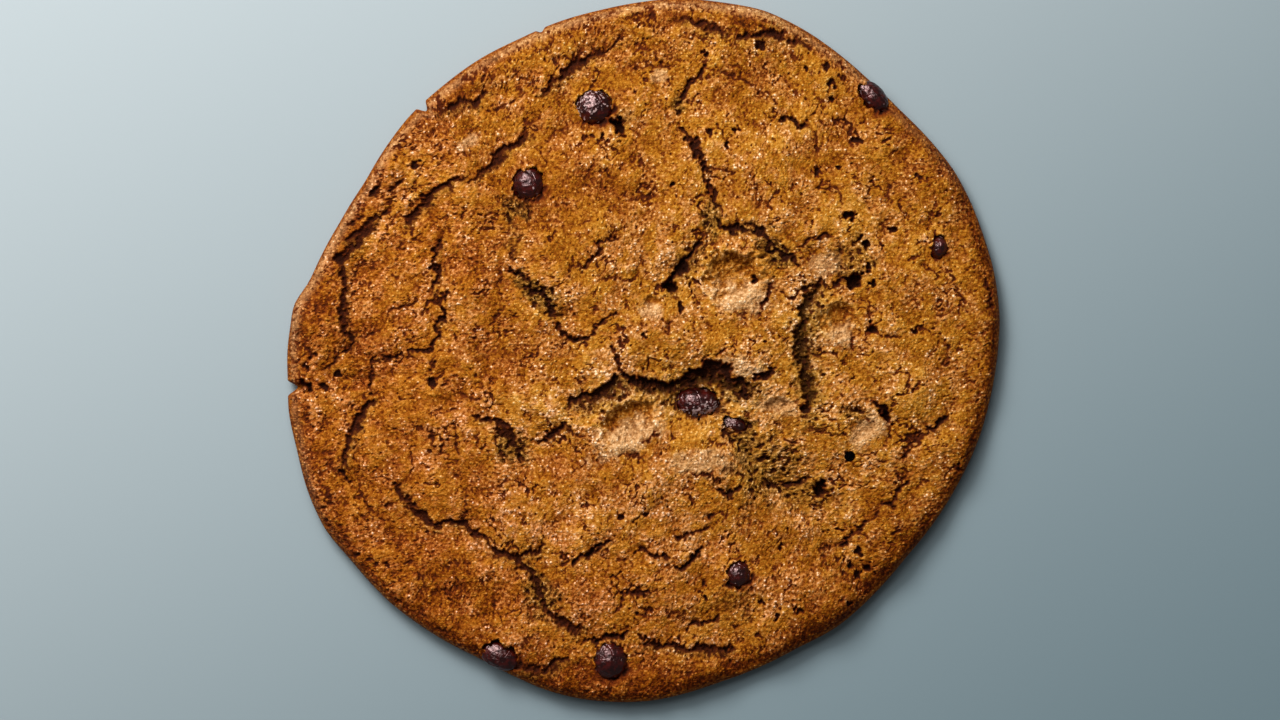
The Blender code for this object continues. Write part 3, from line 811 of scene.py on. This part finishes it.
def dough_mesh(crust, box_top):
    """The fine closed mesh of the dough, with a UV map for baking."""
    ring, angle = disc_points()
    radius = outline_radius(angle) - RIM_CLEARANCE
    inside = radius * (1 - ring)
    share = np.clip(inside / RIM_CROWDING, 0, 1)
    inside = np.where(share < 1, RIM_CROWDING * (2 * share**2 - share**3), inside)
    x, y = (radius - inside) * np.cos(angle), (radius - inside) * np.sin(angle)
    firm = np.sqrt(np.clip(inside / FIRM_RIM, 0, 1))
    z = bare_height(x, y, inside) + firm * read_raster(crust.relief, x, y)
    z = np.clip(chip_floor(x, y, z), THINNEST, box_top - TOP_CLEARANCE)
    top = np.stack([x, y, z], 1)
    border = grid_border()
    lower, spans = under_rings(radius[border], angle[border])

    count, n = len(border), GRID
    cells = (np.arange(n - 1)[:, None] * n + np.arange(n - 1)[None, :]).ravel()
    quads = [np.stack([cells, cells + 1, cells + n + 1, cells + n], 1)]
    loops = [border] + [len(top) + k * count + np.arange(count) for k in range(len(lower))]
    for above, below in zip(loops, loops[1:]):
        quads.append(np.stack([above, below, np.roll(below, -1), np.roll(above, -1)], 1))
    quads = np.concatenate(quads)
    last = loops[-1]
    centre = len(top) + len(lower) * count
    fan = np.stack([np.roll(last, -1), last, np.full(count, centre)], 1)
    verts = np.concatenate([top, *lower, [[0, 0, 0]]])
    mesh = bpy.data.meshes.new("cookie_dough")
    faces = np.concatenate([quads.ravel(), fan.ravel()])
    sizes = np.concatenate([np.full(len(quads), 4), np.full(len(fan), 3)])
    mesh.vertices.add(len(verts))
    mesh.vertices.foreach_set("co", verts.ravel())
    mesh.loops.add(len(faces))
    mesh.loops.foreach_set("vertex_index", faces)
    mesh.polygons.add(len(sizes))
    mesh.polygons.foreach_set("loop_start", np.concatenate([[0], np.cumsum(sizes)[:-1]]))
    mesh.update(calc_edges=True)
    add_bake_map(mesh, ring, angle, spans, border, len(cells), faces)
    mesh.shade_smooth()
    return mesh


def on_disc(disc, share, angle):
    """Points on one of the bake map's discs, from the share of its radius and the direction."""
    centre, radius = disc
    return centre + radius * share * np.cos(angle), centre + radius * share * np.sin(angle)


def add_bake_map(mesh, ring, angle, spans, border, top_cells, faces):
    """Lays the top out as a large disc and the underside as a small one beside it."""
    top_u, top_v = on_disc(TOP_DISC, ring, angle)
    under = [on_disc(UNDER_DISC, span, -angle[border]) for span in spans]
    centre = UNDER_DISC[0]
    u = np.concatenate([top_u, *(u for u, v in under), [centre]])[faces]
    v = np.concatenate([top_v, *(v for u, v in under), [centre]])[faces]
    first = top_cells * 4
    seam = slice(first, first + len(border) * 4)
    ring_corner = faces[seam] < len(ring)
    place = np.searchsorted(np.sort(border), faces[seam][ring_corner])
    seam_angle = angle[border][np.argsort(border)][place]
    u_seam, v_seam = u[seam], v[seam]
    u_seam[ring_corner], v_seam[ring_corner] = on_disc(UNDER_DISC, 1, -seam_angle)
    u[seam], v[seam] = u_seam, v_seam
    layer = mesh.uv_layers.new(name="OFBake")
    layer.uv.foreach_set("vector", np.stack([u, v], 1).ravel())


def mesh_of(bm, name):
    """A mesh with that name from the working mesh, which it frees."""
    mesh = bpy.data.meshes.new(name)
    bm.to_mesh(mesh)
    bm.free()
    return mesh


def link_object(name, data):
    """A new object in the scene for the mesh, light or camera."""
    obj = bpy.data.objects.new(name, data)
    bpy.context.scene.collection.objects.link(obj)
    return obj


def evaluated_mesh(obj):
    """The object's mesh with its modifiers applied."""
    graph = bpy.context.evaluated_depsgraph_get()
    return bpy.data.meshes.new_from_object(obj.evaluated_get(graph), depsgraph=graph)


def add_object(name, mesh, material):
    """A new object for the mesh, with its material."""
    mesh.materials.clear()
    mesh.materials.append(material)
    return link_object(name, mesh)


def pierce(obj):
    """Cuts the pinhole right through the dough."""
    bm = bmesh.new()
    bmesh.ops.create_cone(
        bm, segments=16, radius1=PINHOLE_RADIUS, radius2=PINHOLE_TOP_RADIUS, depth=ROD_LENGTH,
        cap_ends=True,
    )
    rod = link_object("rod", mesh_of(bm, "rod"))
    rod.location = (*spot(PINHOLE), 0)
    cut = obj.modifiers.new("pinhole", "BOOLEAN")
    cut.operation = "DIFFERENCE"
    cut.object = rod
    cut.solver = "MANIFOLD"
    pierced = evaluated_mesh(obj)
    obj.modifiers.clear()
    obj.data = pierced
    bpy.data.objects.remove(rod)


def store(mesh, crust):
    """Writes the crust's attributes to the mesh's points."""
    co = np.empty(len(mesh.vertices) * 3, np.float32)
    mesh.vertices.foreach_get("co", co)
    x, y, z = co.reshape(-1, 3).astype(float).T
    side = smooth((RIM_HEIGHT - SIDE_START - z) / SIDE_BLEND)
    side *= smooth(1.5 - read_raster(crust.inside, x, y) / (1.2 * MM))
    for name in ("gap", "torn", "deep", "pale", "toast_and_shade", "fine", "sugar", "hollow", "ruddy"):
        below = UNDERSIDE.get(name, 0)
        values = read_raster(getattr(crust, name), x, y)
        values += side * (below - values)
        values = np.where(z > WIDEST_HEIGHT * 0.6, values, below)
        attribute = mesh.attributes.new(name, "FLOAT", "POINT")
        attribute.data.foreach_set("value", values.astype(np.float32))


class Look:
    """A material's node tree, built up a node at a time."""

    def __init__(self, name):
        self.material = bpy.data.materials.new(name)
        self.material.use_nodes = True
        self.tree = self.material.node_tree
        self.shader = self.tree.nodes["Principled BSDF"]
        self.place = self.node("TexCoord").outputs["Object"]

    def feed(self, socket, value):
        """Links an output to the socket, or sets the socket's own value."""
        if isinstance(value, bpy.types.NodeSocket):
            self.tree.links.new(value, socket)
        else:
            socket.default_value = value

    def node(self, kind, inputs=None, **settings):
        """A new node with those settings and inputs."""
        made = self.tree.nodes.new("ShaderNode" + kind)
        for name, value in settings.items():
            setattr(made, name, value)
        for name, value in (inputs or {}).items():
            self.feed(made.inputs[name], value)
        return made

    def attribute(self, name):
        """The mesh's own attribute."""
        return self.node("Attribute", attribute_name=name).outputs["Fac"]

    def noise(self, size, detail=2.0, roughness=0.5):
        """Random waves of about that size in metres, from 0 to 1."""
        inputs = {"Vector": self.place, "Scale": 1 / size, "Detail": detail, "Roughness": roughness}
        return self.node("TexNoise", inputs).outputs["Fac"]

    def cells(self, size, feature="F1"):
        """Rounded cells of about that size: their outputs, among them Distance and Color."""
        inputs = {"Vector": self.place, "Scale": 1 / size}
        return self.node("TexVoronoi", inputs, feature=feature).outputs

    def math(self, operation, a, b):
        """One step of arithmetic with two values."""
        return self.node("Math", {0: a, 1: b}, operation=operation).outputs[0]

    def add(self, total, *values):
        """The sum of all the values."""
        for value in values:
            total = self.math("ADD", total, value)
        return total

    def times(self, a, b):
        """The product of two values."""
        return self.math("MULTIPLY", a, b)

    def ramp(self, value, stops):
        """The colour at that value between evenly spaced stops from 0 to 1."""
        made = self.node("ValToRGB", {"Fac": value})
        elements = made.color_ramp.elements
        last = len(stops) - 1
        for index in range(1, last):
            elements.new(index / last)
        for element, colour in zip(elements, stops):
            element.color = (*srgb(*colour), 1)
        return made.outputs["Color"]

    def span(self, value, low, high, to_low=0.0, to_high=1.0):
        """The value carried smoothly from one range to another."""
        inputs = {"Value": value, "From Min": low, "From Max": high, "To Min": to_low, "To Max": to_high}
        made = self.node("MapRange", inputs, interpolation_type="SMOOTHSTEP")
        return made.outputs["Result"]

    def blend(self, share, a, b, mode="MIX"):
        """Two colours mixed by the share."""
        a, b = ((*colour, 1) if isinstance(colour, tuple) else colour for colour in (a, b))
        inputs = {MIX_SHARE: share, MIX_A: a, MIX_B: b}
        return self.node("Mix", inputs, data_type="RGBA", blend_type=mode).outputs[MIX_RESULT]

    def bump(self, height, depth, strength):
        """Fine relief of that depth in metres."""
        inputs = {"Height": height, "Distance": depth, "Strength": strength}
        return self.node("Bump", inputs).outputs["Normal"]

    def finish(self, **inputs):
        """Sets the shader's own inputs and returns the material."""
        for name, value in inputs.items():
            self.feed(self.shader.inputs[name.replace("_", " ").title().replace("Ior", "IOR")], value)
        return self.material


def srgb(red, green, blue):
    """A colour as it looks in a picture, from 0 to 255, as the linear values that Blender takes."""
    values = []
    for level in (red, green, blue):
        level /= 255
        values.append(level / 12.92 if level <= 0.04045 else ((level + 0.055) / 1.055) ** 2.4)
    return tuple(values)


def baked_look():
    """Golden brown crust. One tone, from deep gap to bright sugar grain, runs through two ramps, one
    for the smooth crust and one for the sugary. The tone carries painted shade in the gaps, hollows,
    pits and deep crumb, and painted light on small rises and sugar glints."""
    look = Look("baked_crust")
    add, times, span, blend = look.add, look.times, look.span, look.blend
    fine, sugar, gap = (look.attribute(name) for name in ("fine", "sugar", "gap"))
    speck = look.noise(0.5 * MM, 4, 0.7)
    crystals = look.cells(0.4 * MM)
    chance = crystals["Color"]
    dome = span(crystals["Distance"], 0.1, 0.75, 1, 0)
    # Pale sugar crystals with a painted glint on them
    crystal_and_painted_glint = times(span(chance, 0.62, 0.82), dome)
    crystal_and_painted_glint = times(crystal_and_painted_glint, span(sugar, 0, 1, 0.36, 0.46))
    # Grain, with painted shade in its small pits and painted light on its small rises
    grain_shade_and_glint = add(span(speck, 0.3, 0.7, -0.17, 0.22), span(fine, -1.6, 1.6, -0.16, 0.13))
    grain_shade_and_glint = add(grain_shade_and_glint, span(chance, 0.36, 0.2, 0, -0.13), crystal_and_painted_glint)
    grain_shade_and_glint = times(grain_shade_and_glint, span(sugar, 0, 1, 0.86, 1.04))

    tone = span(look.noise(3.0 * MM, 4, 0.65), 0.3, 0.7, 0.46, 0.5)
    tone = add(tone, span(look.noise(15 * MM, 2), 0.35, 0.65, -0.02, 0.02))
    tone = add(tone, grain_shade_and_glint, span(sugar, 0, 1, 0, 0.03))
    # Darker where toasted and where the rim's shade is painted
    tone = add(tone, times(look.attribute("toast_and_shade"), -0.26))
    # Painted shade in the hollows and painted light on the crests
    tone = add(tone, span(look.attribute("hollow"), -2, 2, 0.05, -0.08))
    crust = blend(sugar, look.ramp(tone, AMBER_TONES), look.ramp(tone, SUGAR_TONES))
    crust = blend(look.attribute("ruddy"), crust, RUDDY_CAST, "MULTIPLY")
    pale = look.ramp(add(times(grain_shade_and_glint, 1.1), 0.46), PALE_TONES)
    crust = blend(times(look.attribute("pale"), 0.82), crust, pale)
    # Painted shade in the gaps, pits and pores, and the painted shadow beside the chips
    deep = look.ramp(add(gap, times(grain_shade_and_glint, -0.6)), GAP_TONES)
    crust = blend(span(gap, 0.02, 0.4), crust, deep)
    # The crumb painted darker the deeper it lies, as shade
    crumb = add(times(grain_shade_and_glint, 1.3), span(look.attribute("deep"), 0, 0.7, 0.42, -0.1))
    crumbly = times(look.attribute("torn"), span(gap, 0.35, 0.85, 0.92, 0.2))
    crust = blend(crumbly, crust, look.ramp(crumb, CRUMB_TONES))

    facets = times(dome, span(chance, 0.2, 0.8, 0.1, 0.6))
    normal = look.bump(add(look.noise(0.36 * MM, 3, 0.7), facets), 0.22 * MM, 0.9)
    rough = add(span(tone, 0.4, 0.8, 0.66, 0.36), span(speck, 0.3, 0.7, 0.07, -0.07))
    rough = add(rough, span(gap, 0, 0.4, 0, 0.25))
    return look.finish(
        base_color=crust, roughness=rough, specular_ior_level=0.1,
        specular_tint=(*srgb(255, 210, 160), 1), normal=normal,
    )


def chocolate_look():
    """Dark chocolate: nearly black in the hollows, with a reddish sheen, dusty in places, and with a
    painted sheen on the side towards the light on some chips.
    """
    look = Look("dark_chocolate")
    location = look.node("ObjectInfo").outputs["Location"]
    shift = look.node("VectorMath", {0: look.place, 1: location}, operation="ADD")
    look.place = shift.outputs["Vector"]
    dust_and_sheen = look.add(look.cells(0.3 * MM)["Color"], look.times(look.attribute("dust_and_sheen"), 0.5))
    coat = look.blend(look.span(look.noise(0.9 * MM, 3, 0.6), 0.4, 0.7), srgb(22, 0, 0), srgb(62, 7, 3))
    coat = look.blend(look.span(dust_and_sheen, 0.86, 1.0, 0, 0.8), coat, srgb(178, 150, 146))
    facets = look.span(look.cells(2.4 * MM, "DISTANCE_TO_EDGE")["Distance"], 0, 0.07, 0, 0.3)
    lumps = look.add(facets, look.times(look.noise(1.9 * MM, 4, 0.55), 3.2))
    return look.finish(
        base_color=coat, roughness=0.28, specular_ior_level=0.72,
        specular_tint=(*srgb(255, 212, 210), 1), normal=look.bump(lumps, 0.22 * MM, 0.6),
    )


def chip_mesh(half_sizes, turn, dust_and_sheen_amounts):
    """A fine chip: a rounded drop with a lumpy skin, inside the shape of its solid."""
    bm = bmesh.new()
    bmesh.ops.create_uvsphere(bm, u_segments=72, v_segments=40, radius=1)
    length, width, height = (size * MM for size in half_sizes)
    for vertex in bm.verts:
        x, y, z = vertex.co
        swell = 1 + 0.05 * noise.noise(Vector((x, y, z)) * 1.7 + Vector((turn, length * 900, 0)))
        taper = 1 - 0.1 * max(z, 0) ** 2
        lump = 1 - 0.06 * abs(noise.noise(vertex.co * 3.5 + Vector((height * 9000, 0, 4))))
        lump -= 0.015 * (1 + noise.noise(vertex.co * 9))
        size = swell * taper * lump
        vertex.co = (x * length * size, y * width * size, z * height * lump)
    bmesh.ops.rotate(bm, verts=bm.verts, matrix=Matrix.Rotation(math.radians(turn), 3, "Z"))
    mesh = mesh_of(bm, "chip")
    # Dust, more towards the side given; where that is the side towards the light it is a painted sheen
    dust_and_sheen = mesh.attributes.new("dust_and_sheen", "FLOAT", "POINT")
    for vertex, value in zip(mesh.vertices, dust_and_sheen.data):
        away = vertex.co.xy / (length + width) * 2
        value.value = min(1, max(0, dust_and_sheen_amounts[0] + Vector(dust_and_sheen_amounts[1:]).dot(away)))
    mesh.shade_smooth()
    return mesh


def add_dough(box_top):
    """The dough, in place of its solid."""
    crust = Crust()
    crust.mark()
    crust.break_up()
    crust.brown()
    dough = add_object("cookie_dough", dough_mesh(crust, box_top), baked_look())
    pierce(dough)
    store(dough.data, crust)
    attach(dough, "root")
    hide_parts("dough")


def add_chips():
    """The chips, each in place of its solid."""
    chocolate = chocolate_look()
    for number, (place, half_sizes, turn, proud) in enumerate(CHIPS, 1):
        dust_and_sheen_amounts = DUST_AND_SHEEN.get(number, (0, 0, 0))
        chip = add_object(f"chocolate_{number}", chip_mesh(half_sizes, turn, dust_and_sheen_amounts), chocolate)
        chip.location = chip_place(place, half_sizes, proud)
        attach(chip, "root")
        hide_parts(f"chip_{number}")


def add_floor():
    """A plain pale floor, cool grey, painted a little lighter towards the light as a pool of light."""
    look = Look("floor_grey")
    bm = bmesh.new()
    bmesh.ops.create_grid(bm, x_segments=1, y_segments=1, size=FLOOR_HALF)
    inputs = {0: look.place, 1: (*TO_LIGHT, 0)}
    along = look.node("VectorMath", inputs, operation="DOT_PRODUCT").outputs["Value"]
    # Painted light: the floor's colour grows lighter towards the lamps
    colour = look.blend(look.span(along, -0.13, 0.13), srgb(94, 115, 123), srgb(161, 171, 175))
    floor = add_object("floor", mesh_of(bm, "floor"), look.finish(base_color=colour, roughness=0.7))
    floor.location.z = -FLOOR_DROP


def add_light(name, place, size, power, colour):
    """A square area light that faces the cookie."""
    data = bpy.data.lights.new(name, "AREA")
    data.size = size
    data.energy = power
    data.color = colour
    light = link_object(name, data)
    light.location = place
    light.rotation_euler = (-Vector(place)).to_track_quat("-Z", "Y").to_euler()


def add_lights():
    """A soft key from the upper left, and a dim even sky."""
    add_light("key", (-0.22, 0.37, 0.42), 0.22, 3.4, (1.0, 0.98, 0.95))
    add_light("window", (-0.2, 0.34, 0.5), 0.6, 4.0, (1.0, 1.0, 1.0))
    world = bpy.data.worlds.new("sky")
    world.use_nodes = True
    sky = world.node_tree.nodes["Background"]
    sky.inputs["Color"].default_value = (1, 1, 1, 1)
    sky.inputs["Strength"].default_value = 0.14
    bpy.context.scene.world = world


def add_camera():
    """Straight above, with a long lens: the photograph's frame at the cookie's widest height."""
    data = bpy.data.cameras.new("camera")
    data.lens = 150
    data.clip_start = 0.05
    camera = link_object("camera", data)
    x, y = spot((PHOTO_SIZE[0] / 2, PHOTO_SIZE[1] / 2))
    distance = PHOTO_SIZE[0] * PIXEL * data.lens / data.sensor_width
    camera.location = (x, y, distance + WIDEST_HEIGHT)
    bpy.context.scene.camera = camera


def main():
    """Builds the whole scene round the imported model."""
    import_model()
    cad_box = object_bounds()
    bpy.context.scene.view_settings.view_transform = "Standard"
    add_dough(cad_box[1][2])
    add_chips()
    add_floor()
    add_lights()
    add_camera()


main()
